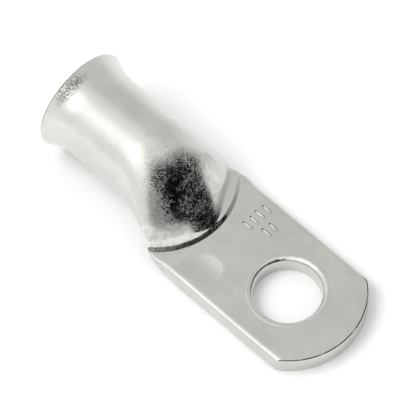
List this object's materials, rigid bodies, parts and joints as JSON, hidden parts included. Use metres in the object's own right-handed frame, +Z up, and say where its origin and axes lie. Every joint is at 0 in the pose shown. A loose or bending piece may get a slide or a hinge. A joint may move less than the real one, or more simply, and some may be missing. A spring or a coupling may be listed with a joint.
{
  "type": "tube cable lug",
  "caption": "Tinned copper tube lug: a bell-mouthed barrel takes the cable end, a pressed neck leads to a flat palm with a stud hole.",
  "frame": {"origin": "stud hole's axis at the underside of the palm", "axes": "+Z up along the stud hole, out of the palm's upper face; +X from the barrel towards the palm's round end; the cable goes in along +X from the mouth at -X"},
  "size_m": [0.0458, 0.0164, 0.0137],
  "materials": {
    "tinned_copper": "electro-tinned copper, bright with a satin grain"
  },
  "bodies": {
    "root": {"cable_lug": "tinned_copper"}
  },
  "joints": []
}
